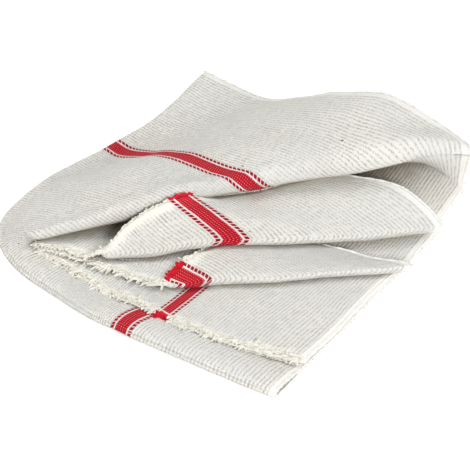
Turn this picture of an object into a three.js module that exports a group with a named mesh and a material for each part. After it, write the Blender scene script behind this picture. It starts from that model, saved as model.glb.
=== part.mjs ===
// A woven cotton floor cloth, folded in half, then heaped in loose folds on a table.
// Millimetres, +Z up, the table at z = 0. The front of the heap faces -Y.
import * as THREE from 'three';
import { mergeVertices } from 'three/addons/utils/BufferGeometryUtils.js';

// Driving dimensions
const clothThickness = 1.4;
const layerPitch = 2.4; // from the middle of one layer to the middle of the next
const edgeHalfGap = 2.4; // half the height of the outer doubled edge
const upperFlapHalfGap = 3.2; // half the height of the soft fold of the upper flap
const lowerFlapHalfGap = 2.6; // and of the lower one
const frontStrip = 30; // width of the rounded strip behind the front edge
const centreFold = { back: 285, front: 315 }; // the cloth's middle line turns over between these
const cornerLength = 36; // a flap's fold closes over this length towards its left corner
const closedFold = 0.3; // share of the fold's half height left at the corner
const cornerFade = { before: 10, after: 12 }; // past its corner a flap goes over into a flat edge
const flatEdgeSteps = [0, 4, 8, 11, 15]; // points behind a cut end where there is no flap
const shutFoldDepth = 0.65 * layerPitch; // the layers beside a shut fold part this far inside it
const openMouth = 60; // the pocket is open from the back selvedge to here
const openFloorRise = 8; // height of the pocket's floor above its place at the open end
const openBackShare = 0.2; // how far the open pocket's back is rounded towards its mouth
const floorShares = { front: 0.36, back: 0.66 }; // points of the pocket's floor
const floorFrontLift = 0.4; // the floor slopes up this much towards the flap
const frontFlapShares = [0, 0.03, 0.08, 0.15, 0.25, 0.45, 0.7]; // points from the cut end
const stripEnd = 1.4; // the front strip is flat from here, in widths of the strip
const stripShares = [stripEnd, 1.2, 1, 0.9, 0.8]; // points of its flat side
const stripCrown = 0.8; // its rounded side ends here
const stripFullness = 1.2; // height of the rounded side as a share of the gap it covers
const bowScale = 6.75; // brings share * share * (1 - share) to 1 at its largest

// Heights of the middles of the layers in the flat part of the stack
const layer = (n) => clothThickness / 2 + n * layerPitch;
const bottomZ = layer(0);
const lowerZ = layer(1);
const frontFlapZ = layer(2);
const liningFloorZ = layer(4);
const pocketFloorZ = layer(5);

// Each table is one line on the cloth. u is the distance from the back selvedge, x, y and z
// are the place where that thread lies on the line, and r is the radius of the roll there.

// Outer edge, where the cloth is doubled: back corner, left end, front corner
const outerEdge = [
  { u: 0, x: -29, y: 203 },
  { u: 65, x: -67, y: 150 },
  { u: 130, x: -112, y: 107 },
  { u: 200, x: -165, y: 67 },
  { u: 250, x: -198, y: 25 },
  { u: 285, x: -205, y: -7 },
  { u: 320, x: -190, y: -39 },
  { u: 370, x: -155, y: -72 },
  { u: 470, x: -96, y: -113 },
  { u: 600, x: 31, y: -184 },
];

// Front of the big roll, from its tip at the right to the pinch at the left end
const crest = [
  { u: 0, x: 202, y: 45, z: 56, r: 6 },
  { u: 30, x: 160, y: 36, z: 66, r: 10 },
  { u: 59, x: 114, y: 27, z: 59, r: 10.5 },
  { u: 86, x: 76, y: 22, z: 53, r: 9 },
  { u: 130, x: 16, y: 15.5, z: 45.5, r: 7.5 },
  { u: 180, x: -37, y: 5, z: 42, r: 8 },
  { u: 222, x: -87, y: -9, z: 34, r: 7 },
  { u: 262, x: -138, y: -17, z: 25, r: 5 },
  { u: 285, x: -172, y: -21, z: 18.8, r: 3.7 },
];

// Hidden fold at the back of the pocket under the roll
const pocketBack = [
  { u: 0, x: 194, y: 14, z: 42 },
  { u: 40, x: 166, y: 50, z: 40 },
  { u: 86, x: 124, y: 70, z: 24 },
  { u: 130, x: 84, y: 82, z: 15.5 },
  { u: 216, x: 18, y: 96, z: 14 },
  { u: 285, x: -40, y: 94, z: 13.95 },
];

// Bottom of the upper flap
const upperFlapFold = [
  { u: 0, x: 172, y: -15, z: 20 },
  { u: 65, x: 90, y: -25, z: 19 },
  { u: 130, x: 0, y: -29, z: 18.5 },
  { u: 180, x: -72, y: -39, z: 16.5 },
  { u: 216, x: -118, y: -44, z: 15.5 },
];

// Line half way up the upper flap
const upperFlapMiddle = [
  { u: 0, x: 142, y: 22, z: 40 },
  { u: 65, x: 60, y: -1, z: 33 },
  { u: 100, x: 20, y: -12, z: 35 },
  { u: 130, x: -22, y: -17, z: 38 },
  { u: 180, x: -81, y: -29, z: 28 },
  { u: 216, x: -116, y: -43, z: 19 },
];

// First cut end: the top of the upper flap, then the front edge of the pocket's floor
const firstCutEnd = [
  { u: 0, x: 92, y: 34, z: 42 },
  { u: 65, x: 24, y: 22, z: 35 },
  { u: 100, x: -14, y: 13, z: 36 },
  { u: 130, x: -47, y: 1, z: 48 },
  { u: 180, x: -92, y: -19, z: 33 },
  { u: 205, x: -110, y: -35.5, z: 21 },
  { u: 228, x: -127, y: -40, z: 14 },
  { u: 255, x: -150, y: -29, z: 12.75 },
  { u: 285, x: -172, y: -23, z: 12.75 },
];

// Bottom of the lower flap
const lowerFlapFold = [
  { u: 0, x: 147, y: -54, z: 13 },
  { u: 65, x: 60, y: -62, z: 13 },
  { u: 130, x: -30, y: -71, z: 13 },
  { u: 155, x: -63, y: -72, z: 12.5 },
];

// Second cut end: the hidden top of the lower flap, then the edge that lies on the front flap
const secondCutEnd = [
  { u: 0, x: 73, y: -24, z: 13 },
  { u: 65, x: 10, y: -29, z: 13 },
  { u: 130, x: -54, y: -54, z: 13.5 },
  { u: 155, x: -68, y: -67, z: 12 },
  { u: 200, x: -105, y: -51, z: 10.4 },
  { u: 250, x: -145, y: -34, z: 10.4 },
  { u: 285, x: -168, y: -26, z: 10.4 },
];

// Both cut ends again, along the front flap
const frontCutEnd = [
  { u: 315, x: -165, y: -29 },
  { u: 340, x: -146, y: -44 },
  { u: 380, x: -112, y: -70 },
  { u: 430, x: -80, y: -86 },
  { u: 470, x: -62, y: -99 },
  { u: 520, x: -27, y: -119 },
  { u: 600, x: 56, y: -150 },
];

// Back fold of the front half
const frontBackFold = [
  { u: 315, x: -40, y: 94 },
  { u: 600, x: 178, y: 4 },
];

// Heights of the top layer on its way from the outer edge to the roll
const topShares = [0.1, 0.25, 0.4, 0.55, 0.7, 0.85];
const topHeights = [
  { u: 0, z: [4, 6, 30, 57, 75, 75], forward: 0 },
  { u: 65, z: [5, 12, 31, 48, 60, 67.5], forward: 4 },
  { u: 130, z: [4.5, 16, 34, 44.5, 49, 51.5], forward: 8 },
  { u: 200, z: [8, 20, 31, 38.5, 43, 45.5], forward: 6 },
  { u: 250, z: [8, 15, 21.5, 26.5, 30, 32.5], forward: 3 },
  { u: 285, z: [6, 11, 15, 18.5, 21, 22.3], forward: 2 },
];

// Names of the points of a thread through the first half of the cloth, from its cut end
const rowNames = ['cut', 'flapMiddle', 'flapTop', 'flapEdge', 'flapUnder', 'floorA', 'floorB',
  'backLow', 'deep', 'backHigh', 'roof', 'rollUnder', 'rollLow', 'rollFront', 'rollHigh', 'rollTop',
  'top85', 'top70', 'top55', 'top40', 'top25', 'top10', 'edgeTop', 'edge'];
const row = Object.fromEntries(rowNames.map((name, i) => [name, i]));

// Steps of the mesh between those points, and over the last stretch of the second half
const firstSteps = [1, 1, 1, 1, 2, 2, 2, 1, 1, 2, 2, 1, 1, 1, 1, 1, 2, 2, 2, 2, 1, 1, 1];
const lastSteps = [2, 2, 1, 1, 1, 1];
const threads = [0, 12, 26, 42, 58, 76, 94, 112, 126, 138, 147, 155, 161, 168, 178, 190, 200, 208, 216, 222,
  229, 242, 256, 270, 285, 292, 300, 308, 315, 330, 350, 372, 400, 430, 460, 490, 520, 560, 600];

const up = new THREE.Vector3(0, 0, 1);
const shareOf = (from, to, value) => THREE.MathUtils.smoothstep(value, from, to);
const between = (a, b, share) => a.clone().lerp(b, share);
const shifted = (p, direction, distance) => p.clone().addScaledVector(direction, distance);
const atHeight = (p, z) => new THREE.Vector3(p.x, p.y, z);

// Value of one column of a table at u, on a smooth curve through its rows
function columnAt(table, u, read) {
  const last = table.length - 1;
  let i = 0;
  while (i < last - 1 && u > table[i + 1].u) i += 1;
  const slopeAt = (k) => {
    const low = table[Math.max(k - 1, 0)];
    const high = table[Math.min(k + 1, last)];
    return (read(high) - read(low)) / (high.u - low.u);
  };
  const span = table[i + 1].u - table[i].u;
  const t = (u - table[i].u) / span;
  const rise = read(table[i + 1]) - read(table[i]);
  const start = slopeAt(i) * span;
  const end = slopeAt(i + 1) * span;
  const bend = 3 * rise - 2 * start - end;
  const twist = start + end - 2 * rise;
  return read(table[i]) + t * start + t ** 2 * bend + t ** 3 * twist;
}

function placeAt(table, u) {
  const read = (key) => columnAt(table, u, (row) => row[key] ?? 0);
  return new THREE.Vector3(read('x'), read('y'), read('z'));
}

// Level direction along a line, for growing u
function runOf(table, u) {
  const step = 2;
  const low = Math.max(u - step, table[0].u);
  const high = Math.min(u + step, table[table.length - 1].u);
  return placeAt(table, high).sub(placeAt(table, low)).setZ(0).normalize();
}

const leftOf = (run) => new THREE.Vector3(-run.y, run.x, 0);
const levelDirection = (from, to) => to.clone().sub(from).setZ(0).normalize();

// Points of a soft fold: from its upper layer, round its edge, to its lower layer.
// Threads cross the fold on the slant, so they drift along it by slant times the arc.
function foldPoints(edge, outward, along, radius, angles, slant) {
  return angles.map((degrees) => {
    const angle = THREE.MathUtils.degToRad(degrees);
    const p = shifted(edge, outward, radius * (Math.cos(angle) - 1));
    p.z += radius * Math.sin(angle);
    return p.addScaledVector(along, -radius * angle * slant);
  });
}

// The doubled outer edge of the cloth at u, and the point where its upper layer levels out
function outerEdgePoints(u) {
  const edge = atHeight(placeAt(outerEdge, u), bottomZ + edgeHalfGap);
  const inward = leftOf(runOf(outerEdge, u));
  const edgeTop = shifted(shifted(edge, inward, edgeHalfGap), up, edgeHalfGap);
  return { edge, inward, edgeTop };
}

// The soft fold of a flap, which closes towards the corner where the cut end meets it
function flapFold(table, halfGap, u) {
  const end = table[table.length - 1].u;
  const at = Math.min(u, end);
  const run = runOf(table, at);
  const shut = shareOf(end - cornerLength, end, u);
  const radius = halfGap * THREE.MathUtils.lerp(1, closedFold, shut);
  return foldPoints(placeAt(table, at), leftOf(run), run.clone().negate(), radius, [-90, 0, 90], -1);
}

// The flap's points up to its corner, and past the corner a plain edge lying flat
function fadingFlap(table, cut, deep, folded, steps, u) {
  const end = table[table.length - 1].u;
  const inward = levelDirection(cut, deep);
  const tucked = 1 - shareOf(end - cornerFade.before, end + cornerFade.after, u);
  return folded.map((p, i) => between(shifted(cut, inward, steps[i]), p, tucked));
}

// Two points just inside a shut fold, one layer apart
function shutFold(fold, outward, lowZ, highZ) {
  const inside = shifted(fold, outward, -shutFoldDepth);
  return [atHeight(inside, lowZ), atHeight(inside, highZ)];
}

// One thread of the first half of the cloth, from its cut end to the outer edge,
// where it runs through the back half of the heap: upper flap, pocket, roll, top layer.
function backThread(u) {
  const open = 1 - shareOf(0, openMouth, u);
  const roll = placeAt(crest, u);
  const radius = columnAt(crest, u, (row) => row.r);
  const crestRun = runOf(crest, u);
  const lowest = THREE.MathUtils.lerp(-90, 0, open);
  const turns = [lowest, lowest / 2, 0, 45, 90];
  const rolled = foldPoints(roll, leftOf(crestRun), crestRun.clone().negate(), radius, turns, 1 - open);

  const deep = placeAt(pocketBack, u);
  const cut = placeAt(firstCutEnd, u);
  const fold = flapFold(upperFlapFold, upperFlapHalfGap, u);
  const middle = placeAt(upperFlapMiddle, Math.min(u, upperFlapMiddle[upperFlapMiddle.length - 1].u));
  const folded = [cut, middle, fold[2], fold[1], fold[0]];
  const end = fadingFlap(upperFlapFold, cut, deep, folded, flatEdgeSteps, u);

  const halfLayer = layerPitch / 2;
  const outward = levelDirection(end[4], deep);
  const [shutLow, shutHigh] = shutFold(deep, outward, deep.z - halfLayer, deep.z + halfLayer);
  const backLow = between(shutLow, between(deep, end[4], openBackShare), open);
  const backHigh = between(shutHigh, between(deep, rolled[0], openBackShare), open);
  const floorA = between(end[4], backLow, floorShares.front);
  const floorB = between(end[4], backLow, floorShares.back);
  floorA.z = Math.max(floorA.z, pocketFloorZ + floorFrontLift + open * openFloorRise);
  floorB.z = Math.max(floorB.z, pocketFloorZ + open * openFloorRise);
  const roof = between(backHigh, rolled[0], 0.5);

  const { edge, edgeTop } = outerEdgePoints(u);
  const forward = columnAt(topHeights, u, (row) => row.forward);
  const top = topShares.map((share, i) => {
    const bow = bowScale * share * share * (1 - share);
    const p = shifted(between(edgeTop, rolled[4], share), leftOf(crestRun), bow * forward);
    p.z = columnAt(topHeights, u, (row) => row.z[i]);
    return p;
  });
  return [...end, floorA, floorB, backLow, deep, backHigh, roof, ...rolled, ...top.reverse(), edgeTop, edge];
}

// The same thread where it runs through the front half: front flap, back fold, bottom layer
function frontThread(u) {
  const { edge, edgeTop } = outerEdgePoints(u);
  const fold = placeAt(frontBackFold, u);
  const cut = placeAt(frontCutEnd, u);
  const turned = atHeight(fold, lowerZ + layerPitch / 2);
  const [backHigh, backLow] = shutFold(fold, levelDirection(cut, fold), lowerZ, frontFlapZ);
  const flap = frontFlapShares.map((share) => atHeight(between(cut, backLow, share), frontFlapZ));
  const acrossStrip = levelDirection(edge, fold);
  const bulge = stripFullness * (2 * edgeHalfGap + bottomZ - lowerZ);
  const stripPoint = (share) => {
    const fall = 1 - shareOf(0, stripEnd, share);
    return atHeight(shifted(edge, acrossStrip, share * frontStrip), lowerZ + bulge * fall);
  };
  const strip = stripShares.map(stripPoint);
  const roof = atHeight(between(backHigh, strip[0], 0.5), lowerZ);
  const top = topShares.map((share) => stripPoint(stripCrown * share));
  return [...flap, backLow, turned, backHigh, roof, ...strip, ...top.reverse(), edgeTop, edge];
}

// Side to which the middle line of the cloth turns over
function turnSide() {
  const u = centreFold.back;
  return leftOf(levelDirection(placeAt(crest, u), placeAt(pocketBack, u)));
}

// A point on the half circle that joins two layers round the layers between them
function turnedPoint(upper, lower, share) {
  const angle = share * Math.PI;
  const radius = Math.abs(upper.z - lower.z) / 2;
  return shifted(between(upper, lower, (1 - Math.cos(angle)) / 2), turnSide(), radius * Math.sin(angle));
}

// Near the middle line the front half turns over into the back half
function turningThread(u) {
  const { back, front } = centreFold;
  const share = (u - back) / (front - back);
  const behind = backThread(back);
  const before = frontThread(front);
  const { edge } = outerEdgePoints(u);
  return behind.map((p, i) => {
    if (i < row.rollFront) return turnedPoint(p, before[i], share);
    const fromEdge = p.clone().sub(behind[row.edge]);
    return fromEdge.lerp(before[i].clone().sub(before[row.edge]), share).add(edge);
  });
}

function firstHalfThread(u) {
  if (u <= centreFold.back) return backThread(u);
  if (u >= centreFold.front) return frontThread(u);
  return turningThread(u);
}

// Last stretch of the second half, from the pocket's floor to its cut end
function lastStretch(u) {
  const { back, front } = centreFold;
  if (u >= front) {
    const names = ['floorA', 'flapUnder', 'flapEdge', 'flapTop', 'flapMiddle', 'cut'];
    const thread = frontThread(u);
    return names.map((name) => shifted(thread[row[name]], up, layerPitch));
  }
  if (u > back) {
    const lower = lastStretch(front);
    return lastStretch(back).map((p, i) => turnedPoint(p, lower[i], (u - back) / (front - back)));
  }
  const cut = placeAt(secondCutEnd, u);
  const fold = flapFold(lowerFlapFold, lowerFlapHalfGap, u);
  const folded = [...fold, between(fold[2], cut, 0.5), cut];
  const steps = [...flatEdgeSteps].reverse();
  const end = fadingFlap(lowerFlapFold, cut, placeAt(pocketBack, u), folded, steps, u);
  return [atHeight(backThread(u)[row.flapUnder], liningFloorZ), ...end];
}

// Points on a smooth curve through the control points, with so many steps for each span
function curvePoints(control, steps) {
  const shortest = 1e-3;
  const points = [];
  steps.forEach((count, i) => {
    const p0 = control[Math.max(i - 1, 0)];
    const p1 = control[i];
    const p2 = control[i + 1];
    const p3 = control[Math.min(i + 2, control.length - 1)];
    const span = Math.max(p1.distanceTo(p2), shortest);
    const start = p2.clone().sub(p0).multiplyScalar(span / (p0.distanceTo(p1) + span));
    const end = p3.clone().sub(p1).multiplyScalar(span / (span + p2.distanceTo(p3)));
    const rise = p2.clone().sub(p1);
    for (let k = 0; k < count; k += 1) {
      const t = k / count;
      const p = p1.clone().addScaledVector(start, t * (1 - t) ** 2).addScaledVector(end, t * t * (t - 1));
      points.push(p.addScaledVector(rise, t * t * (3 - 2 * t)));
    }
  });
  points.push(control[control.length - 1].clone());
  return points;
}

// Sheet normals from the four neighbours of each grid point
function gridNormals(grid) {
  const columns = grid.length;
  const rows = grid[0].length;
  return grid.map((column, i) => column.map((p, j) => {
    const across = grid[Math.min(i + 1, columns - 1)][j].clone().sub(grid[Math.max(i - 1, 0)][j]);
    const along = column[Math.min(j + 1, rows - 1)].clone().sub(column[Math.max(j - 1, 0)]);
    return across.cross(along).normalize();
  }));
}

function middleGrid() {
  const first = threads.map((u) => curvePoints(firstHalfThread(u), firstSteps));
  const normals = gridNormals(first);
  const rowOf = (name) => firstSteps.slice(0, row[name]).reduce((sum, count) => sum + count, 0);
  const from = rowOf('edgeTop') - 1;
  const to = rowOf('floorB');
  return first.map((column, i) => {
    const u = threads[i];
    const edge = column[column.length - 1];
    const under = atHeight(shifted(edge, outerEdgePoints(u).inward, edgeHalfGap), bottomZ);
    const lining = [];
    for (let j = from; j >= to; j -= 1) {
      const p = shifted(column[j], normals[i][j], layerPitch);
      const onTable = u >= centreFold.front && j >= rowOf('backHigh');
      lining.push(onTable ? atHeight(p, bottomZ) : p);
    }
    const start = lining.pop();
    const tail = curvePoints([start, ...lastStretch(u)], lastSteps);
    return [...column, under, ...lining, ...tail];
  });
}

function sheetGeometry(grid) {
  const columns = grid.length;
  const rows = grid[0].length;
  const normals = gridNormals(grid);
  const position = [];
  [0.5, -0.5].forEach((side) => {
    grid.forEach((column, i) => column.forEach((p, j) => {
      position.push(...shifted(p, normals[i][j], side * clothThickness).toArray());
    }));
  });
  const under = columns * rows;
  const at = (i, j) => i * rows + j;
  const index = [];
  const quad = (a, b, c, d) => index.push(a, b, c, a, c, d);
  for (let i = 0; i < columns - 1; i += 1) {
    for (let j = 0; j < rows - 1; j += 1) {
      quad(at(i, j), at(i + 1, j), at(i + 1, j + 1), at(i, j + 1));
      quad(under + at(i, j), under + at(i, j + 1), under + at(i + 1, j + 1), under + at(i + 1, j));
    }
    quad(at(i, 0), under + at(i, 0), under + at(i + 1, 0), at(i + 1, 0));
    const end = rows - 1;
    quad(at(i, end), at(i + 1, end), under + at(i + 1, end), under + at(i, end));
  }
  for (let j = 0; j < rows - 1; j += 1) {
    quad(at(0, j), at(0, j + 1), under + at(0, j + 1), under + at(0, j));
    const end = columns - 1;
    quad(at(end, j), under + at(end, j), under + at(end, j + 1), at(end, j + 1));
  }
  const geometry = new THREE.BufferGeometry();
  geometry.setAttribute('position', new THREE.Float32BufferAttribute(position, 3));
  geometry.setIndex(index);
  return mergeVertices(geometry);
}

const geometry = sheetGeometry(middleGrid());
geometry.computeBoundingBox();
const { min, max } = geometry.boundingBox;
geometry.translate(-(min.x + max.x) / 2, -(min.y + max.y) / 2, -min.z);

const cotton = new THREE.MeshStandardMaterial({ color: 0xece8dc, roughness: 0.95, metalness: 0 });
const cloth = new THREE.Mesh(geometry, cotton);
cloth.name = 'cloth';
const heap = new THREE.Group();
heap.add(cloth);
export default heap;
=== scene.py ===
"""A coarse cotton floor cloth with red stripes, doubled and heaped in loose folds on a pale table."""
import math
import random

import bmesh
import bpy
import numpy as np
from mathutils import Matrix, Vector, noise
from mathutils.bvhtree import BVHTree


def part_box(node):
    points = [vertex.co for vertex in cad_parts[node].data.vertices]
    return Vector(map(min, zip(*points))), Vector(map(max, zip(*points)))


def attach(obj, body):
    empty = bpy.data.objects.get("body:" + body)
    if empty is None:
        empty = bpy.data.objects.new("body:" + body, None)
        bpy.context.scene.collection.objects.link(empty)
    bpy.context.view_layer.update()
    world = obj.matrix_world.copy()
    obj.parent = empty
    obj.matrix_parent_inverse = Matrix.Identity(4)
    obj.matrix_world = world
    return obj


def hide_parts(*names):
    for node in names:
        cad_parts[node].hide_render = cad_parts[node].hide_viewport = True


# The cloth, in millimetres. The tables hold lines on the cloth: u is the distance from the back
# selvedge, x, y and z are the place where that thread crosses the line, r is a roll's radius.
CLOTH_WIDTH = 600
CLOTH_LENGTH = 1000
CLOTH_THICKNESS = 1.4
LAYER_PITCH = 2.4
OUTER_EDGE_HALF_GAP = 2.4
UPPER_FLAP_HALF_GAP = 3.2
LOWER_FLAP_HALF_GAP = 2.6
FRONT_STRIP = 30
FRONT_PUFF = 4.5
CENTRE_BACK, CENTRE_FRONT = 285, 315  # the cloth's middle line turns over between these
CORNER_LENGTH = 36  # a flap's fold closes over this length towards its left corner
CLOSED_FOLD = 0.3  # share of the fold's half height left at the corner
CORNER_BEFORE, CORNER_AFTER = 10, 12  # past its corner a flap goes over into a flat edge
OPEN_MOUTH = 60  # the pocket is open from the back selvedge to here
OPEN_ROLL_TURN = -14  # degrees that the roll still turns under at its open tip
OPEN_FLOOR_RISE = 8
OPEN_BACK_SHARE = 0.2
SHUT_FOLD_DEPTH = 0.65 * LAYER_PITCH
FLOOR_SHARES = (0.36, 0.66)
FLOOR_FRONT_LIFT = 0.4
BOW_SCALE = 6.75  # brings share * share * (1 - share) to 1 at its largest
FRONT_FLAP_SHARES = (0, 0.03, 0.08, 0.15, 0.25, 0.45, 0.7)
STRIP_END = 1.4  # the front strip is flat from here, in widths of the strip
STRIP_CROWN = 0.8
STRIP_SHARES = (STRIP_END, 1.2, 1, 0.9, STRIP_CROWN)
STRIP_FULLNESS = 1.2
PUFF_PLACE = 0.45  # where the front strip is fullest


def layer(number):
    """Height of the middle of a layer in the flat part of the heap."""
    return CLOTH_THICKNESS / 2 + number * LAYER_PITCH


BOTTOM_Z, LOWER_Z, FRONT_FLAP_Z = layer(0), layer(1), layer(2)
LINING_FLOOR_Z, POCKET_FLOOR_Z = layer(4), layer(5)

OUTER_EDGE = [
    dict(u=0, x=-29, y=203),
    dict(u=65, x=-67, y=150),
    dict(u=130, x=-112, y=107),
    dict(u=200, x=-165, y=67),
    dict(u=250, x=-198, y=25),
    dict(u=285, x=-205, y=-7),
    dict(u=320, x=-190, y=-39),
    dict(u=370, x=-155, y=-72),
    dict(u=470, x=-96, y=-113),
    dict(u=600, x=31, y=-184),
]
CREST = [
    dict(u=0, x=202, y=45, z=56, r=6),
    dict(u=30, x=160, y=36, z=66, r=10),
    dict(u=59, x=114, y=27, z=59, r=10.5),
    dict(u=86, x=76, y=22, z=53, r=9),
    dict(u=130, x=16, y=15.5, z=45.5, r=7.5),
    dict(u=180, x=-37, y=5, z=42, r=8),
    dict(u=222, x=-87, y=-9, z=34, r=7),
    dict(u=262, x=-138, y=-17, z=25, r=5),
    dict(u=285, x=-172, y=-21, z=18.8, r=3.7),
]
POCKET_BACK = [
    dict(u=0, x=194, y=14, z=42),
    dict(u=40, x=166, y=50, z=40),
    dict(u=86, x=124, y=70, z=24),
    dict(u=130, x=84, y=82, z=15.5),
    dict(u=216, x=18, y=96, z=14),
    dict(u=285, x=-40, y=94, z=13.95),
]
UPPER_FLAP_FOLD = [
    dict(u=0, x=172, y=-15, z=20),
    dict(u=65, x=90, y=-25, z=19),
    dict(u=130, x=-8, y=-30, z=18.5),
    dict(u=180, x=-72, y=-39, z=16.5),
    dict(u=216, x=-118, y=-44, z=15.5),
]
UPPER_FLAP_MIDDLE = [
    dict(u=0, x=142, y=22, z=40),
    dict(u=65, x=60, y=-1, z=33),
    dict(u=100, x=20, y=-12, z=35),
    dict(u=130, x=-22, y=-17, z=38),
    dict(u=180, x=-81, y=-29, z=28),
    dict(u=216, x=-116, y=-43, z=19),
]
FIRST_CUT_END = [
    dict(u=0, x=92, y=34, z=42),
    dict(u=65, x=24, y=22, z=35),
    dict(u=100, x=-14, y=13, z=36),
    dict(u=130, x=-47, y=1, z=48),
    dict(u=180, x=-92, y=-19, z=33),
    dict(u=205, x=-110, y=-35.5, z=21),
    dict(u=228, x=-127, y=-40, z=14),
    dict(u=255, x=-150, y=-29, z=12.75),
    dict(u=285, x=-172, y=-23, z=12.75),
]
LOWER_FLAP_FOLD = [
    dict(u=0, x=147, y=-54, z=13),
    dict(u=65, x=57, y=-62, z=13),
    dict(u=119, x=-22, y=-70, z=13),
    dict(u=151, x=-63, y=-72, z=12.5),
]
SECOND_CUT_END = [
    dict(u=0, x=73, y=-23, z=13),
    dict(u=65, x=4, y=-21, z=12.9),
    dict(u=95, x=-25, y=-29, z=13.2),
    dict(u=119, x=-43, y=-45, z=13.5),
    dict(u=140, x=-58, y=-65.5, z=13),
    dict(u=151, x=-66, y=-68.5, z=12.3),
    dict(u=200, x=-105, y=-51, z=10.4),
    dict(u=250, x=-145, y=-34, z=10.4),
    dict(u=285, x=-168, y=-26, z=10.4),
]
FRONT_CUT_END = [
    dict(u=315, x=-165, y=-29),
    dict(u=340, x=-146, y=-44),
    dict(u=380, x=-112, y=-70),
    dict(u=430, x=-80, y=-86),
    dict(u=470, x=-62, y=-99),
    dict(u=520, x=-27, y=-119),
    dict(u=600, x=56, y=-150),
]
FRONT_BACK_FOLD = [
    dict(u=315, x=-40, y=94),
    dict(u=600, x=178, y=4),
]
TOP_SHARES = (0.1, 0.25, 0.4, 0.55, 0.7, 0.85)
TOP_HEIGHTS = [
    dict(u=0, z=(4, 6, 30, 57, 75, 75), forward=0),
    dict(u=65, z=(5, 12, 31, 48, 60, 67.5), forward=4),
    dict(u=130, z=(4.5, 16, 34, 44.5, 49, 51.5), forward=8),
    dict(u=200, z=(8, 20, 31, 38.5, 43, 45.5), forward=6),
    dict(u=250, z=(8, 15, 21.5, 26.5, 30, 32.5), forward=3),
    dict(u=285, z=(6, 11, 15, 18.5, 21, 22.3), forward=2),
]

ROW_NAMES = (
    "cut flapMiddle flapTop flapEdge flapUnder floorA floorB backLow deep backHigh roof "
    "rollUnder rollLow rollFront rollHigh rollTop top85 top70 top55 top40 top25 top10 edgeTop edge"
).split()
ROW = {name: number for number, name in enumerate(ROW_NAMES)}
UP = np.array((0.0, 0.0, 1.0))
FLAP_STEPS = (0, 4, 8, 11, 15)  # from the cut end inwards, where there is no flap


def smoothstep(low, high, value):
    share = min(max((value - low) / (high - low), 0), 1)
    return share * share * (3 - 2 * share)


def mix(a, b, share):
    return a + (b - a) * share


def vector(x, y, z=0.0):
    return np.array((x, y, z), float)


def at_height(point, z):
    return vector(point[0], point[1], z)


def level_direction(start, end):
    run = at_height(end - start, 0)
    return run / np.linalg.norm(run)


def left_of(run):
    return vector(-run[1], run[0])


def column_at(table, u, read):
    """Value of one column of a table at u, on a smooth curve through its rows."""
    last = len(table) - 1
    i = 0
    while i < last - 1 and u > table[i + 1]["u"]:
        i += 1

    def slope(k):
        low, high = table[max(k - 1, 0)], table[min(k + 1, last)]
        return (read(high) - read(low)) / (high["u"] - low["u"])

    span = table[i + 1]["u"] - table[i]["u"]
    t = (u - table[i]["u"]) / span
    start_value = read(table[i])
    rise = read(table[i + 1]) - start_value
    start, end = slope(i) * span, slope(i + 1) * span
    return start_value + t * start + t * t * (3 * rise - 2 * start - end) + t**3 * (start + end - 2 * rise)


def place_at(table, u):
    return np.array([column_at(table, u, lambda row: row.get(key, 0)) for key in "xyz"])


def run_of(table, u, step=2):
    """Level direction along a line of the cloth, for growing u."""
    low = max(u - step, table[0]["u"])
    high = min(u + step, table[-1]["u"])
    return level_direction(place_at(table, low), place_at(table, high))


def fold_points(edge, outward, along, radius, angles, slant):
    """A soft fold, from its upper layer round its edge to its lower layer."""
    points = []
    for degrees in angles:
        angle = math.radians(degrees)
        across = outward * radius * (math.cos(angle) - 1)
        points.append(edge + across + UP * radius * math.sin(angle) - along * radius * angle * slant)
    return points


def flap_fold(table, half_gap, u):
    """The soft fold of a flap. It closes towards the corner where the cut end meets it."""
    last = table[-1]["u"]
    at = min(u, last)
    run = run_of(table, at)
    radius = half_gap * mix(1, CLOSED_FOLD, smoothstep(last - CORNER_LENGTH, last, u))
    return fold_points(place_at(table, at), left_of(run), -run, radius, (-90, 0, 90), -1)


def fading_flap(table, cut, deep, folded, steps, u):
    """The flap's points up to its corner, and past the corner a plain edge lying flat."""
    last = table[-1]["u"]
    inward = level_direction(cut, deep)
    plain = [cut + inward * step for step in steps]
    tucked = 1 - smoothstep(last - CORNER_BEFORE, last + CORNER_AFTER, u)
    return [mix(a, b, tucked) for a, b in zip(plain, folded)]


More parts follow.
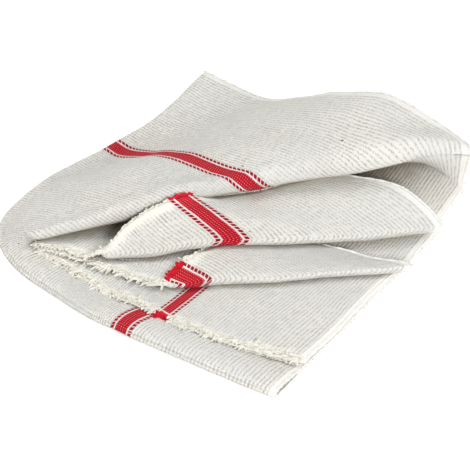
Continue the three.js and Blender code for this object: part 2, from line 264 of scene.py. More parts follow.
def back_thread(u):
    """A thread of the first half in the back of the heap: flap, pocket, roll, top layer."""
    is_open = 1 - smoothstep(0, OPEN_MOUTH, u)
    roll = place_at(CREST, u)
    radius = column_at(CREST, u, lambda row: row["r"])
    crest_run = run_of(CREST, u)
    lowest = mix(-90, OPEN_ROLL_TURN, is_open)
    turns = (lowest, lowest / 2, 0, 45, 90)
    rolled = fold_points(roll, left_of(crest_run), -crest_run, radius, turns, 1 - is_open)

    deep = place_at(POCKET_BACK, u)
    cut = place_at(FIRST_CUT_END, u)
    fold = flap_fold(UPPER_FLAP_FOLD, UPPER_FLAP_HALF_GAP, u)
    middle = place_at(UPPER_FLAP_MIDDLE, min(u, UPPER_FLAP_MIDDLE[-1]["u"]))
    folded = [cut, middle, fold[2], fold[1], fold[0]]
    end = fading_flap(UPPER_FLAP_FOLD, cut, deep, folded, FLAP_STEPS, u)

    out = level_direction(end[4], deep)
    gap = LAYER_PITCH / 2
    shut_low = at_height(deep - out * SHUT_FOLD_DEPTH, deep[2] - gap)
    shut_high = at_height(deep - out * SHUT_FOLD_DEPTH, deep[2] + gap)
    back_low = mix(shut_low, mix(deep, end[4], OPEN_BACK_SHARE), is_open)
    back_high = mix(shut_high, mix(deep, rolled[0], OPEN_BACK_SHARE), is_open)
    rise = OPEN_FLOOR_RISE * is_open
    floor_a, floor_b = (mix(end[4], back_low, share) for share in FLOOR_SHARES)
    floor_a[2] = max(floor_a[2], POCKET_FLOOR_Z + FLOOR_FRONT_LIFT + rise)
    floor_b[2] = max(floor_b[2], POCKET_FLOOR_Z + rise)
    roof = mix(back_high, rolled[0], 0.5)

    edge, edge_top = outer_edge_points(u)
    forward = left_of(crest_run) * column_at(TOP_HEIGHTS, u, lambda row: row["forward"])
    top = []
    for i, share in enumerate(TOP_SHARES):
        bow = BOW_SCALE * share * share * (1 - share)
        p = mix(edge_top, rolled[4], share) + forward * bow
        top.append(at_height(p, column_at(TOP_HEIGHTS, u, lambda row: row["z"][i])))
    return [*end, floor_a, floor_b, back_low, deep, back_high, roof, *rolled, *top[::-1], edge_top, edge]


def outer_edge_points(u):
    edge = at_height(place_at(OUTER_EDGE, u), BOTTOM_Z + OUTER_EDGE_HALF_GAP)
    inward = left_of(run_of(OUTER_EDGE, u))
    return edge, edge + (inward + UP) * OUTER_EDGE_HALF_GAP


def front_thread(u):
    """The same thread in the front of the heap: front flap, back fold, bottom layer."""
    edge, edge_top = outer_edge_points(u)
    fold = place_at(FRONT_BACK_FOLD, u)
    cut = place_at(FRONT_CUT_END, u)
    out = level_direction(cut, fold)
    gap = LAYER_PITCH / 2
    back_low = at_height(fold - out * SHUT_FOLD_DEPTH, FRONT_FLAP_Z)
    back_high = at_height(fold - out * SHUT_FOLD_DEPTH, LOWER_Z)
    turned = at_height(fold, LOWER_Z + gap)
    flap = [at_height(mix(cut, back_low, share), FRONT_FLAP_Z) for share in FRONT_FLAP_SHARES]
    inward = level_direction(edge, fold)
    bulge = 2 * OUTER_EDGE_HALF_GAP + BOTTOM_Z - LOWER_Z

    def strip_point(share):
        fall = 1 - smoothstep(0, STRIP_END, share)
        from_place = share / PUFF_PLACE
        fading = 1 - smoothstep(STRIP_CROWN, STRIP_END, share)
        height = FRONT_PUFF * from_place * math.exp(1 - from_place) * fading
        height += LOWER_Z + STRIP_FULLNESS * bulge * fall
        return at_height(edge + inward * share * FRONT_STRIP, height)

    strip = [strip_point(share) for share in STRIP_SHARES]
    roof = at_height(mix(back_high, strip[0], 0.5), LOWER_Z)
    top = [strip_point(STRIP_CROWN * share) for share in TOP_SHARES]
    return [*flap, back_low, turned, back_high, roof, *strip, *top[::-1], edge_top, edge]


def turn_side():
    return left_of(level_direction(place_at(CREST, CENTRE_BACK), place_at(POCKET_BACK, CENTRE_BACK)))


def turned_point(upper, lower, share):
    """A point on the half circle that joins two layers round the layers between them."""
    angle = share * math.pi
    radius = abs(upper[2] - lower[2]) / 2
    return mix(upper, lower, (1 - math.cos(angle)) / 2) + turn_side() * radius * math.sin(angle)


def turning_thread(u):
    """Near the middle line the front half turns over into the back half."""
    share = (u - CENTRE_BACK) / (CENTRE_FRONT - CENTRE_BACK)
    behind, before = back_thread(CENTRE_BACK), front_thread(CENTRE_FRONT)
    edge, _ = outer_edge_points(u)
    points = [turned_point(upper, lower, share) for upper, lower in zip(behind, before)]
    for i in range(ROW["rollFront"], len(points)):
        points[i] = edge + mix(behind[i] - behind[-1], before[i] - before[-1], share)
    return points


def first_half_thread(u):
    if u <= CENTRE_BACK:
        return back_thread(u)
    if u >= CENTRE_FRONT:
        return front_thread(u)
    return turning_thread(u)


def last_stretch(u):
    """The second half from the pocket's floor to its cut end: lower flap, or front flap."""
    if u >= CENTRE_FRONT:
        thread = front_thread(u)
        names = ("floorA", "flapUnder", "flapEdge", "flapTop", "flapMiddle", "cut")
        return [thread[ROW[name]] + UP * LAYER_PITCH for name in names]
    if u > CENTRE_BACK:
        share = (u - CENTRE_BACK) / (CENTRE_FRONT - CENTRE_BACK)
        pairs = zip(last_stretch(CENTRE_BACK), last_stretch(CENTRE_FRONT))
        return [turned_point(upper, lower, share) for upper, lower in pairs]
    cut = place_at(SECOND_CUT_END, u)
    fold = flap_fold(LOWER_FLAP_FOLD, LOWER_FLAP_HALF_GAP, u)
    folded = [*fold, mix(fold[2], cut, 0.5), cut]
    end = fading_flap(LOWER_FLAP_FOLD, cut, place_at(POCKET_BACK, u), folded, FLAP_STEPS[::-1], u)
    above = back_thread(u)[ROW["flapUnder"]]
    return [at_height(above, LINING_FLOOR_Z), *end]


def curve_points(control, steps):
    """Points on a smooth curve through the control points, with so many steps for each span."""
    points = []
    last = len(control) - 1
    for i, count in enumerate(steps):
        before, start, end, after = (control[min(max(k, 0), last)] for k in (i - 1, i, i + 1, i + 2))
        span = max(np.linalg.norm(end - start), 1e-3)
        low = np.linalg.norm(start - before)
        high = np.linalg.norm(after - end)
        leave = (end - before) / (low + span) * span
        arrive = (after - start) / (span + high) * span
        t = (np.arange(count) / count)[:, None]
        points.append(
            start
            + leave * t * (1 - t) ** 2
            + arrive * t * t * (t - 1)
            + (end - start) * t * t * (3 - 2 * t)
        )
    points.append(control[last][None, :])
    return np.concatenate(points)


def grid_normals(grid):
    across = np.empty_like(grid)
    across[1:-1] = grid[2:] - grid[:-2]
    across[0], across[-1] = grid[1] - grid[0], grid[-1] - grid[-2]
    along = np.empty_like(grid)
    along[:, 1:-1] = grid[:, 2:] - grid[:, :-2]
    along[:, 0], along[:, -1] = grid[:, 1] - grid[:, 0], grid[:, -1] - grid[:, -2]
    normals = np.cross(across, along)
    return normals / np.maximum(np.linalg.norm(normals, axis=2, keepdims=True), 1e-9)


# Steps of the grid between the named rows of the first half, and on the second half's last stretch
FIRST_STEPS = (6, 5, 2, 2, 6, 6, 6, 2, 2, 6, 6, 3, 2, 2, 3, 4, 6, 6, 6, 6, 5, 4, 2)
LAST_STEPS = (6, 4, 2, 2, 4, 4)
THREADS = 150
# share of painted shade on the open pocket's inner wall
POCKET_PAINTED_SHADE = 0.5


def first_row(name):
    return sum(FIRST_STEPS[: ROW[name]])


def under_layer(u, column, normals):
    """The second half where it lies under the first: a lining, one layer down."""
    edge = column[-1]
    away = left_of(run_of(OUTER_EDGE, u))
    under = at_height(edge + away * OUTER_EDGE_HALF_GAP, BOTTOM_Z)
    rows = range(first_row("edgeTop") - 1, first_row("floorB") - 1, -1)
    lining = [column[j] + normals[j] * LAYER_PITCH for j in rows]
    if u >= CENTRE_FRONT:
        for k, j in enumerate(rows):
            if j >= first_row("backHigh"):
                lining[k] = at_height(lining[k], BOTTOM_Z)
    return under, lining


def cloth_grid():
    """Middle surface of the whole cloth, in millimetres: threads across, rows along."""
    us = np.linspace(0, CLOTH_WIDTH, THREADS + 1)
    first = np.array([curve_points(first_half_thread(u), FIRST_STEPS) for u in us])
    normals = grid_normals(first)
    columns = []
    for i, u in enumerate(us):
        under, lining = under_layer(u, first[i], normals[i])
        tail = curve_points([lining[-1], *last_stretch(u)], LAST_STEPS)
        columns.append(np.concatenate([first[i], [under], lining[:-1], tail]))
    return us, np.array(columns)


WAVES = ((62, 3.0, 3.1), (24, 1.0, 11.7))  # length and depth in millimetres, and the seed
FIRM_HEIGHT, FREE_RISE = 2, 14  # below the first height the cloth lies firm, above both it is free
FIRM_SHARE = 0.55


def smooth_noise(points, wavelength, seed):
    """Smooth noise between about -1 and 1 at each point, the same on every run."""
    flat = points.reshape(-1, 3) / wavelength
    shifts = [seed + 19.7 * axis for axis in range(3)]
    values = [[noise.noise(p + shift) for shift in shifts] for p in flat]
    return np.array(values).reshape(points.shape)


def crumpled(grid):
    """The heap with the small unevenness of limp cloth. All layers at one place move together."""
    free = np.clip((grid[..., 2] - FIRM_HEIGHT) / FREE_RISE, 0, 1)[..., None]
    free = free * free * (3 - 2 * free)
    shift = sum(smooth_noise(grid, length, seed) * depth for length, depth, seed in WAVES)
    level = shift * (1, 1, 0) * mix(FIRM_SHARE, 1, free)
    rise = shift * (0, 0, 1) * free
    return grid + level + rise


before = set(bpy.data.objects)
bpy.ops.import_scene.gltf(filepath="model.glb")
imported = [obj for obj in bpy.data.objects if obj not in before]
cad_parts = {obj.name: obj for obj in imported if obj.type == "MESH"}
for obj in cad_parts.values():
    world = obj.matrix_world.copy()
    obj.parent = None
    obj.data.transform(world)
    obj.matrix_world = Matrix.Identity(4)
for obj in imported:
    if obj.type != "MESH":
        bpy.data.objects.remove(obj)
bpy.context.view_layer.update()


def row_frame_offset(grid):
    """Moves the heap, in metres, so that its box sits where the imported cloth's box does."""
    low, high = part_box("cloth")
    normals = grid_normals(grid)
    skin = np.concatenate([grid + normals * CLOTH_THICKNESS / 2, grid - normals * CLOTH_THICKNESS / 2])
    skin = skin.reshape(-1, 3) / 1000
    mine_low, mine_high = skin.min(0), skin.max(0)
    return np.array((
        (low.x + high.x - mine_low[0] - mine_high[0]) / 2,
        (low.y + high.y - mine_low[1] - mine_high[1]) / 2,
        low.z - mine_low[2],
    ))


def new_piece(name, bm):
    mesh = bpy.data.meshes.new(name)
    bm.to_mesh(mesh)
    bm.free()
    piece = bpy.data.objects.new(name, mesh)
    bpy.context.scene.collection.objects.link(piece)
    return piece


def crease_shades(us, grid, reach=50, rays=12):
    """How much of the view from a point's more open side is shut in, for painted crease shade, and the
    painted shade of the open pocket's inner wall.
    """
    columns, rows = grid.shape[:2]
    points = grid.reshape(-1, 3)
    faces = []
    for i in range(columns - 1):
        for j in range(rows - 1):
            corner = i * rows + j
            faces.append((corner, corner + rows, corner + rows + 1, corner + 1))
    heap = BVHTree.FromPolygons([Vector(p) for p in points], faces)
    golden_turn = math.pi * (3 - math.sqrt(5))
    dome = []
    for k in range(rays):
        rise = math.sqrt(1 - (k + 0.5) / rays)
        ring = math.sqrt(1 - rise * rise)
        dome.append((ring * math.cos(golden_turn * k), ring * math.sin(golden_turn * k), rise))
    shades = []
    for point, normal in zip(points, grid_normals(grid).reshape(-1, 3)):
        sides = []
        for facing in (1, -1):
            outward = Vector(normal * facing)
            sideways = outward.orthogonal().normalized()
            third = outward.cross(sideways)
            start = Vector(point) + outward
            hits = 0
            for x, y, z in dome:
                way = sideways * x + third * y + outward * z
                if start.z + way.z * reach < 0 or heap.ray_cast(start, way, reach)[0] is not None:
                    hits += 1
            sides.append(hits / rays)
        shades.append(min(sides))
    shades = np.array(shades).reshape(columns, rows)
    # the inner wall of the open pocket gets painted shade, set by its place on the cloth
    for i, u in enumerate(us):
        for j in range(first_row("flapUnder"), first_row("rollHigh")):
            floor_share = smoothstep(first_row("flapUnder"), first_row("floorB"), j)
            lip_share = 1 - smoothstep(first_row("roof"), first_row("rollHigh"), j)
            pocket_shade = POCKET_PAINTED_SHADE * (1 - smoothstep(50, 110, u)) * floor_share * lip_share
            shades[i, j] = max(shades[i, j], pocket_shade)
    return shades


def woven_panel(us, grid, offset):
    """The whole cloth as one sheet: a flat grid of threads and rows, laid on the folded surface."""
    shades = crease_shades(us, grid)
    columns, rows = grid.shape[:2]
    bm = bmesh.new()
    bmesh.ops.create_grid(bm, x_segments=columns - 1, y_segments=rows - 1, size=1)
    uv_layer = bm.loops.layers.uv.new("UVMap")
    crease_layer = bm.verts.layers.float.new("crease")
    steps = np.linalg.norm(np.diff(grid, axis=1), axis=2)
    along = np.concatenate([np.zeros((columns, 1)), np.cumsum(steps, axis=1)], axis=1)
    along *= CLOTH_LENGTH / along[:, -1:]
    places = {}
    for vert in bm.verts:
        i = round((vert.co.x + 1) / 2 * (columns - 1))
        j = round((vert.co.y + 1) / 2 * (rows - 1))
        places[vert] = (i, j)
    for vert, (i, j) in places.items():
        vert.co = grid[i, j] / 1000 + offset
        vert[crease_layer] = shades[i, j]
    for face in bm.faces:
        face.smooth = True
        for loop in face.loops:
            i, j = places[loop.vert]
            loop[uv_layer].uv = (us[i] / 1000, along[i, j] / 1000)
    return new_piece("woven_panel", bm)


class Finish:
    """A procedural material, built one node at a time. Sockets and plain numbers mix freely."""

    def __init__(self, name):
        self.material = bpy.data.materials.new(name)
        self.material.use_nodes = True
        self.tree = self.material.node_tree
        self.shader = self.tree.nodes["Principled BSDF"]

    def node(self, kind, *inputs, **settings):
        node = self.tree.nodes.new(kind)
        for key, value in settings.items():
            setattr(node, key, value)
        for socket, value in zip(node.inputs, inputs):
            self.put(socket, value)
        return node

    def put(self, socket, value):
        if isinstance(value, bpy.types.NodeSocket):
            self.tree.links.new(value, socket)
        elif value is not None:
            socket.default_value = value

    def sum(self, a, b):
        return self.node("ShaderNodeMath", a, b, operation="ADD").outputs[0]

    def less(self, a, b):
        return self.node("ShaderNodeMath", a, b, operation="SUBTRACT").outputs[0]

    def times(self, a, b):
        return self.node("ShaderNodeMath", a, b, operation="MULTIPLY").outputs[0]

    def calc(self, operation, *values):
        return self.node("ShaderNodeMath", *values, operation=operation).outputs[0]

    def wave(self, turns):
        """0 to 1 and back, once a turn."""
        sine = self.calc("SINE", self.times(turns, 2 * math.pi))
        return self.sum(self.times(sine, 0.5), 0.5)

    def ramp(self, value, low, high):
        """0 below low, 1 above high, soft between."""
        node = self.node("ShaderNodeMapRange", value, low, high, interpolation_type="SMOOTHSTEP")
        return node.outputs[0]

    def blend(self, share, first, second, mode="MIX"):
        node = self.node("ShaderNodeMix", data_type="RGBA", blend_type=mode)
        self.put(node.inputs["Factor"], share)
        self.put(node.inputs["A"], first)
        self.put(node.inputs["B"], second)
        return node.outputs["Result"]

    def noise(self, place, scale, detail=2.0, roughness=0.5):
        node = self.node("ShaderNodeTexNoise")
        self.put(node.inputs["Vector"], place)
        self.put(node.inputs["Scale"], scale)
        self.put(node.inputs["Detail"], detail)
        self.put(node.inputs["Roughness"], roughness)
        return node.outputs["Fac"]

    def vector(self, x, y, z=0.0):
        return self.node("ShaderNodeCombineXYZ", x, y, z).outputs[0]


ECRU = (0.835, 0.815, 0.755, 1)
# dark of the painted shade in the weave's grooves
GROOVE_SHADE = (0.50, 0.485, 0.44, 1)
SELVEDGE_WHITE = (0.84, 0.83, 0.79, 1)
BAND_RED = (0.60, 0.001, 0.016, 1)
LINE_RED = (0.36, 0.004, 0.015, 1)
BAND_PINK = (0.80, 0.36, 0.36, 1)
BAND_SHADE = (0.26, 0.001, 0.008, 1)
LINE_WHITE = (0.87, 0.76, 0.75, 1)
COOL_PATCH = (0.74, 0.745, 0.725, 1)
FLECK_BROWN = (0.10, 0.07, 0.04, 1)
FLUFF_CREAM = (0.80, 0.765, 0.68, 1)
# beige of the painted shade in the creases and in the open pocket
CREASE_SHADE_BEIGE = (0.52, 0.45, 0.36, 1)
RIB_PITCH = 3.1
DASH_PITCH = 4.0
STRIPE_MIDDLES = (130, 470)
STRIPE_HALF_WIDTH = 10.4


def woven_cotton():
    """Ecru ribs of slanted dashes, two red stripes, white selvedges and a few dark flecks."""
    cloth = Finish("woven_cotton")
    flat = cloth.node("ShaderNodeUVMap", uv_map="UVMap").outputs[0]
    parts = cloth.node("ShaderNodeSeparateXYZ", flat)
    across = cloth.times(parts.outputs[0], 1000)
    along = cloth.times(parts.outputs[1], 1000)

    # hand-loom unevenness: the ribs wander and the picks crowd
    wander = cloth.less(cloth.noise(flat, 38, 3.0), 0.5)
    crowd = cloth.less(cloth.noise(flat, 90, 2.0), 0.5)
    rib_place = cloth.sum(cloth.sum(across, cloth.times(wander, 3.2)), cloth.times(crowd, 0.9))
    rib_turns = cloth.times(rib_place, 1 / RIB_PITCH)
    rib_number = cloth.calc("FLOOR", rib_turns)
    rib = cloth.wave(cloth.less(rib_turns, 0.25))
    pick_place = cloth.vector(cloth.times(rib_number, 5.13), cloth.times(along, 0.55))
    dash = cloth.noise(pick_place, 1.0, 1.0)
    fuzz = cloth.noise(flat, 900, 3.0, 0.65)
    slub_place = cloth.vector(cloth.times(across, 0.9), cloth.times(along, 0.16))
    slub = cloth.noise(slub_place, 1.0, 2.0)

    slit = cloth.times(cloth.ramp(rib, 0.5, 0.08), cloth.ramp(dash, 0.44, 0.62))
    height = cloth.sum(cloth.times(rib, 0.34), cloth.less(0.5, cloth.times(slit, 0.6)))
    height = cloth.sum(height, cloth.times(cloth.less(fuzz, 0.5), 1.7))
    height = cloth.sum(height, cloth.times(cloth.less(slub, 0.5), 0.6))
    from_end = cloth.calc("MINIMUM", along, cloth.less(CLOTH_LENGTH, along))
    fluff = cloth.ramp(cloth.sum(from_end, cloth.times(crowd, 14)), 12, 3)
    height = cloth.blend(fluff, height, cloth.noise(flat, 330, 4.0, 0.7))

    # colour of the undyed cloth, with painted shade in the grooves and slits of its weave
    groove_shade_mask = cloth.ramp(height, 0.72, 0.02)
    ecru = cloth.blend(cloth.times(groove_shade_mask, 0.85), ECRU, GROOVE_SHADE)
    ecru = cloth.blend(cloth.times(fluff, 0.5), ecru, FLUFF_CREAM)
    patch = cloth.ramp(cloth.noise(flat, 14, 3.0), 0.35, 0.65)
    ecru = cloth.blend(cloth.times(patch, 0.5), ecru, COOL_PATCH)

    # dark flecks of seed husk, few and small
    husks = cloth.node("ShaderNodeTexVoronoi", feature="F1")
    cloth.put(husks.inputs["Vector"], flat)
    cloth.put(husks.inputs["Scale"], 95)
    chosen = cloth.node("ShaderNodeSeparateColor", husks.outputs["Color"])
    size = cloth.times(cloth.ramp(chosen.outputs[0], 0.80, 1.0), 0.1)
    fleck = cloth.calc("LESS_THAN", husks.outputs["Distance"], size)
    depth = cloth.sum(0.35, cloth.times(chosen.outputs[1], 0.6))
    ecru = cloth.blend(cloth.times(fleck, depth), ecru, FLECK_BROWN)

    # the stripes: band, white line, dashed line
    nearest = None
    for middle in STRIPE_MIDDLES:
        distance = cloth.calc("ABSOLUTE", cloth.less(across, middle))
        nearest = distance if nearest is None else cloth.calc("MINIMUM", nearest, distance)
    nearest = cloth.sum(nearest, cloth.times(cloth.less(fuzz, 0.5), 0.9))
    in_band = cloth.ramp(nearest, 6.1, 5.7)
    in_white = cloth.times(cloth.ramp(nearest, 5.7, 6.1), cloth.ramp(nearest, 7.7, 7.3))
    in_line = cloth.times(cloth.ramp(nearest, 7.3, 7.7), cloth.ramp(nearest, 10.7, 10.2))
    blush = cloth.times(cloth.ramp(nearest, 14.0, 10.0), 0.13)
    pick = cloth.wave(cloth.sum(cloth.times(along, 1 / DASH_PITCH), cloth.times(across, 0.09)))
    red_line = cloth.times(in_line, cloth.ramp(pick, 0.05, 0.22))
    column_turns = cloth.times(across, 1 / 2.3)
    column = cloth.wave(column_turns)
    brick = cloth.times(cloth.calc("FLOOR", cloth.sum(column_turns, 0.25)), 0.5)
    speck_turns = cloth.sum(cloth.times(along, 2 / DASH_PITCH), brick)
    speck_wave = cloth.wave(cloth.sum(speck_turns, cloth.times(across, 0.2)))
    speck = cloth.times(cloth.ramp(speck_wave, 0.72, 0.95), cloth.ramp(column, 0.5, 0.85))
    band = cloth.blend(cloth.times(speck, 0.75), BAND_RED, BAND_PINK)
    between = cloth.ramp(column, 0.3, 0.05)
    band = cloth.blend(cloth.times(between, 0.6), band, LINE_RED)
    # painted shade in the red band's grooves
    band = cloth.blend(cloth.times(groove_shade_mask, 0.5), band, BAND_SHADE)
    colour = cloth.blend(blush, ecru, BAND_PINK)
    colour = cloth.blend(cloth.times(in_white, 0.8), colour, LINE_WHITE)
    colour = cloth.blend(red_line, colour, LINE_RED)
    colour = cloth.blend(in_band, colour, band)

    # the woven selvedges: smoother and whiter
    to_edge = cloth.calc("MINIMUM", across, cloth.less(CLOTH_WIDTH, across))
    selvedge = cloth.ramp(to_edge, 6.0, 3.5)
    colour = cloth.blend(cloth.times(selvedge, 0.8), colour, SELVEDGE_WHITE)
    height = cloth.times(height, cloth.less(1.0, cloth.times(selvedge, 0.6)))

    # painted shade: beige and darker in the creases where the cloth is shut in, and in the open pocket by
    # its place on the cloth
    crease = cloth.node("ShaderNodeAttribute", attribute_name="crease").outputs["Fac"]
    painted_shade = cloth.times(cloth.ramp(crease, 0.3, 0.95), 0.85)
    colour = cloth.blend(painted_shade, colour, cloth.blend(1.0, colour, CREASE_SHADE_BEIGE, "MULTIPLY"))

    bump = cloth.node("ShaderNodeBump")
    bump.inputs["Strength"].default_value = 0.9
    bump.inputs["Distance"].default_value = 0.0011
    cloth.put(bump.inputs["Height"], height)
    cloth.put(cloth.shader.inputs["Base Color"], colour)
    cloth.put(cloth.shader.inputs["Normal"], bump.outputs[0])
    cloth.shader.inputs["Roughness"].default_value = 0.92
    cloth.shader.inputs["Sheen Weight"].default_value = 0.06
    cloth.shader.inputs["Sheen Roughness"].default_value = 0.6
    cloth.shader.inputs["Specular IOR Level"].default_value = 0.08
    return cloth.material


def plain_material(name, colour, roughness, glow=0.0):
    material = bpy.data.materials.new(name)
    material.use_nodes = True
    shader = material.node_tree.nodes["Principled BSDF"]
    shader.inputs["Base Color"].default_value = (*colour, 1)
    shader.inputs["Roughness"].default_value = roughness
    shader.inputs["Emission Color"].default_value = (*colour, 1)
    shader.inputs["Emission Strength"].default_value = glow
    return material


def spun_yarn(name, colour, deep):
    """Soft cotton yarn: strands that wind round it, lighter on top of the fluff."""
    yarn = Finish(name)
    place = yarn.node("ShaderNodeTexCoord").outputs["Object"]
    strand = yarn.noise(place, 1400, 3.0, 0.6)
    clump = yarn.noise(place, 260, 2.0)
    shade = yarn.times(yarn.ramp(clump, 0.62, 0.34), 0.6)
    bump = yarn.node("ShaderNodeBump")
    bump.inputs["Strength"].default_value = 0.8
    bump.inputs["Distance"].default_value = 0.0006
    yarn.put(bump.inputs["Height"], strand)
    yarn.put(yarn.shader.inputs["Base Color"], yarn.blend(shade, colour, deep))
    yarn.put(yarn.shader.inputs["Normal"], bump.outputs[0])
    yarn.shader.inputs["Roughness"].default_value = 0.95
    yarn.shader.inputs["Specular IOR Level"].default_value = 0.15
    yarn.shader.inputs["Sheen Weight"].default_value = 0.06
    return yarn.material


def yarn_piece(name, yarns, material, sides=1):
    """One curve piece of many yarns. Each is a list of places in metres and thicknesses in mm."""
    curve = bpy.data.curves.new(name, "CURVE")
    curve.dimensions = "3D"
    curve.bevel_depth = 0.0005
    curve.bevel_resolution = sides
    curve.use_fill_caps = True
    for places, widths in yarns:
        spline = curve.splines.new("POLY")
        spline.points.add(len(places) - 1)
        spline.use_smooth = True
        for point, place, width in zip(spline.points, places, widths):
            point.co = (place[0], place[1], max(place[2], curve.bevel_depth * width), 1)
            point.radius = width
    curve.materials.append(material)
    piece = bpy.data.objects.new(name, curve)
    bpy.context.scene.collection.objects.link(piece)
    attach(piece, "root")
    return piece


def in_stripe(u):
    return min(abs(u - middle) for middle in STRIPE_MIDDLES) < STRIPE_HALF_WIDTH


def along_edge(line, us, u):
    """Place on an edge of the cloth at thread u."""
    return np.array([np.interp(u, us, line[:, k]) for k in range(3)])


def outward_at(us, edge, inner, u):
    place = along_edge(edge, us, u)
    outward = place - along_edge(inner, us, u)
    return place, outward / max(np.linalg.norm(outward), 1e-6)


def puff(place, way, length, thick, chance, spread=0.5):
    """One blunt, fluffy yarn end."""
    drift = np.array([chance.gauss(0, spread) for _ in range(3)])
    drift[2] = abs(drift[2]) * 0.6
    curl = np.array([chance.gauss(0, 0.4), chance.gauss(0, 0.4), chance.uniform(-0.3, 0.4)])
    path, widths = [], []
    for share, width in ((-0.5, 0.7), (0, 0.95), (0.45, 1.15), (0.8, 1.05), (1.0, 0.6)):
        spot = place + (way * share + drift * max(share, 0) + curl * share * share) * length
        path.append(spot / 1000 + offset)
        widths.append(thick * width)
    return path, widths


def frayed_end(us, edge, inner, reach, tuft, chance):
    """Blunt fluffy yarn ends along a cut end, and fat red tufts where the stripes are cut."""
    white, red = [], []
    u = 0.7
    while u < CLOTH_WIDTH:
        place, outward = outward_at(us, edge, inner, u)
        length = reach(u)
        if not in_stripe(u):
            for _ in range(2 if length > 2.5 else 1):
                set_back = place - outward * chance.uniform(0, 0.9) * length
                set_back = set_back + UP * chance.uniform(0.2, 0.9)
                size = length * chance.uniform(0.4, 1.0)
                white.append(puff(set_back, outward, size, chance.uniform(1.2, 2.3), chance))
        u += chance.uniform(0.8, 1.5)
    for middle in STRIPE_MIDDLES:
        for from_middle, count, size in ((-9, 9, 2.2), (-3.2, 26, 3.0), (3.0, 24, 2.7), (9, 8, 2.1)):
            for _ in range(count):
                place, outward = outward_at(us, edge, inner, middle + from_middle + chance.gauss(0, 1.5))
                way = outward * 0.8 + np.array([chance.gauss(0, 0.5) for _ in range(3)])
                length = size * tuft * chance.uniform(0.5, 1.1)
                base = place + outward * chance.uniform(-0.8, 0.9) * tuft + UP * 0.6
                red.append(puff(base, way, length, chance.uniform(1.6, 2.6), chance, 0.3))
    return white, red


def loosened_yarns(us, edge, inner, start, end, chance):
    """Cross yarns worked loose beside a cut end: wavy, broken here and there."""
    yarns = []
    u = start
    while u < end:
        stop = min(u + chance.uniform(18, 60), end)
        side = chance.uniform(-5.0, 3.5)
        path, widths = [], []
        for at in np.arange(u, stop, 1.6):
            if in_stripe(at):
                continue
            place, outward = outward_at(us, edge, inner, at)
            wave = side + 0.7 * math.sin(at * 1.9 + u) + chance.gauss(0, 0.25)
            path.append((place + outward * wave + UP * (0.7 + chance.uniform(-0.2, 0.5))) / 1000 + offset)
            widths.append(chance.uniform(1.3, 2.1))
        if len(path) > 3:
            yarns.append((path, widths))
        u = stop - chance.uniform(-4, 12)
    return yarns


def selvedge_rim(line, inner, chance):
    """The bound edge: a smooth thick rim with the small loops of the turning weft."""
    rim, rim_widths, loops = [], [], []
    length = np.concatenate([[0], np.cumsum(np.linalg.norm(np.diff(line, axis=0), axis=1))])
    stations = np.arange(0, length[-1], 2.4)
    for number, at in enumerate(stations):
        place = np.array([np.interp(at, length, line[:, k]) for k in range(3)])
        within = np.array([np.interp(at, length, inner[:, k]) for k in range(3)])
        outward = (place - within) / max(np.linalg.norm(place - within), 1e-6)
        ahead = np.array([np.interp(at + 1, length, line[:, k]) for k in range(3)]) - place
        rim.append((place + outward * 0.15) / 1000 + offset)
        rim_widths.append(2.0 + 0.3 * math.sin(number * 1.3) + chance.uniform(-0.15, 0.15))
        if number % 2:
            reach = chance.uniform(0.9, 1.9)
            bow = [place - ahead * 1.2 + outward * 0.4, place - ahead * 0.8 + outward * reach,
                   place + ahead * 0.8 + outward * reach, place + ahead * 1.2 + outward * 0.4]
            loops.append(([spot / 1000 + offset for spot in bow], [0.8, 0.9, 0.9, 0.8]))
    return [(rim, rim_widths)], loops


us, grid = cloth_grid()
offset = row_frame_offset(grid)
grid = crumpled(grid)
panel = woven_panel(us, grid, offset)
panel.data.materials.append(woven_cotton())
thickness = panel.modifiers.new("cloth_thickness", "SOLIDIFY")
thickness.thickness = CLOTH_THICKNESS / 1000
thickness.offset = 0
thickness.use_even_offset = False
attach(panel, "root")
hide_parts("cloth")

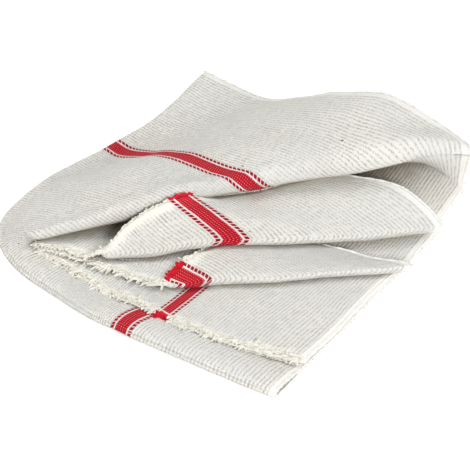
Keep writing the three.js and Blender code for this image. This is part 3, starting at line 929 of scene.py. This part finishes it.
chance = random.Random(41)
first_white, first_red = frayed_end(
    us, grid[:, 0], grid[:, 3], lambda u: 1.0 if u < 208 else 3.6, 0.45, chance
)
last_white, last_red = frayed_end(
    us, grid[:, -1], grid[:, -4], lambda u: 1.2 if u < 112 else 4.6, 1.1, chance
)
loose = loosened_yarns(us, grid[:, 0], grid[:, 3], 218, 598, chance)
loose += loosened_yarns(us, grid[:, -1], grid[:, -4], 152, 598, chance)
for _ in range(3):
    loose += loosened_yarns(us, grid[:, -1], grid[:, -4], 290, 598, chance)
white_yarn = spun_yarn("fluffy_ecru_yarn", (0.82, 0.80, 0.73, 1), (0.60, 0.57, 0.49, 1))
red_yarn = spun_yarn("fluffy_red_yarn", (0.66, 0.012, 0.03, 1), (0.36, 0.004, 0.012, 1))
frayed = yarn_piece("frayed_cut_ends", first_white + last_white, white_yarn)
tufts = yarn_piece("red_stripe_tufts", first_red + last_red, red_yarn)
loosened = yarn_piece("loosened_cross_yarns", loose, white_yarn)
rim_yarn = spun_yarn("selvedge_yarn", (0.86, 0.85, 0.81, 1), (0.70, 0.68, 0.62, 1))
rims, loops = [], []
for column, within in ((0, 2), (-1, -3)):
    rim, rim_loops = selvedge_rim(grid[column], grid[within], chance)
    rims += rim
    loops += rim_loops
bound = yarn_piece("woven_selvedges", rims, rim_yarn, 2)
looped = yarn_piece("selvedge_loops", loops, rim_yarn, 0)

# The table, the light and the camera
floor_bm = bmesh.new()
bmesh.ops.create_grid(floor_bm, x_segments=1, y_segments=1, size=6)
floor = new_piece("pale_table", floor_bm)
floor.data.materials.append(plain_material("pale_table", (0.93, 0.93, 0.93), 0.9, 0.3))

world = bpy.data.worlds.new("studio")
bpy.context.scene.world = world
world.use_nodes = True
world.node_tree.nodes["Background"].inputs["Color"].default_value = (1, 1, 1, 1)
world.node_tree.nodes["Background"].inputs["Strength"].default_value = 0.5
bpy.context.scene.view_settings.view_transform = "Standard"


def soft_light(name, place, size, power):
    light = bpy.data.lights.new(name, "AREA")
    light.shape = "RECTANGLE"
    light.size = size[0]
    light.size_y = size[1]
    light.energy = power
    lamp = bpy.data.objects.new(name, light)
    lamp.location = place
    lamp.rotation_euler = (-Vector(place)).to_track_quat("-Z", "Y").to_euler()
    bpy.context.scene.collection.objects.link(lamp)


soft_light("key_softbox", (0.8, -1.8, 1.25), (1.0, 0.8), 36)
soft_light("top_softbox", (-1.1, 0.7, 2.0), (1.2, 1.0), 30)

camera_data = bpy.data.cameras.new("camera")
camera_data.lens = 36 * 2298.85 / 470
camera_data.sensor_width = 36
camera_data.clip_end = 50
camera = bpy.data.objects.new("camera", camera_data)
tilt = math.radians(47)
target = Vector((offset[0], offset[1], offset[2]))
camera.location = target + Vector((0, -math.cos(tilt), math.sin(tilt))) * 2
camera.rotation_euler = (math.radians(90) - tilt, 0, 0)
bpy.context.scene.collection.objects.link(camera)
bpy.context.scene.camera = camera
